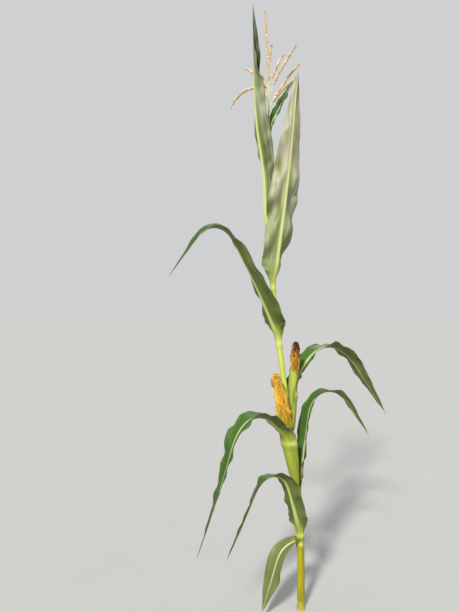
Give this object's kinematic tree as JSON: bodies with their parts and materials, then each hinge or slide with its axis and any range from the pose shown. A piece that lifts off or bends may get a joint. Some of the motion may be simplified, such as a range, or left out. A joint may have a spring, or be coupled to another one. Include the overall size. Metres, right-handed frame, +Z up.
{
  "type": "maize plant",
  "caption": "Flowering maize plant with a leaning stalk, arching and upright strap leaves, ears with hanging silk, and a branched tassel.",
  "frame": {"origin": "middle of the flat cut under the stalk, at ground level", "axes": "+Z up, +X to the right of the picture's view, +Y away from its viewer"},
  "size_m": [0.9677, 0.6471, 2.418],
  "materials": {
    "stalk": "satin green skin",
    "leaf": "ribbed, satin above and dull below",
    "husk": "ribbed, satin",
    "golden_silk": "fine dull strands",
    "brown_silk": "fine dull strands",
    "tassel": "dull, rough with spikelets"
  },
  "bodies": {
    "root": {"stalk": "stalk", "leaf_01": "leaf", "leaf_02": "leaf", "leaf_03": "leaf", "leaf_04": "leaf", "leaf_05": "leaf", "leaf_06": "leaf", "leaf_07": "leaf", "leaf_08": "leaf", "leaf_09": "leaf", "ear_1_shank": "husk", "ear_1_husk": "husk", "ear_1_silk": "golden_silk", "ear_2_shank": "husk", "ear_2_husk": "husk", "ear_2_silk": "brown_silk", "tassel_spike": "tassel", "tassel_branch_01": "tassel", "tassel_branch_02": "tassel", "tassel_branch_03": "tassel", "tassel_branch_04": "tassel", "tassel_branch_05": "tassel", "tassel_branch_06": "tassel", "tassel_branch_07": "tassel", "tassel_branch_08": "tassel"}
  },
  "joints": []
}
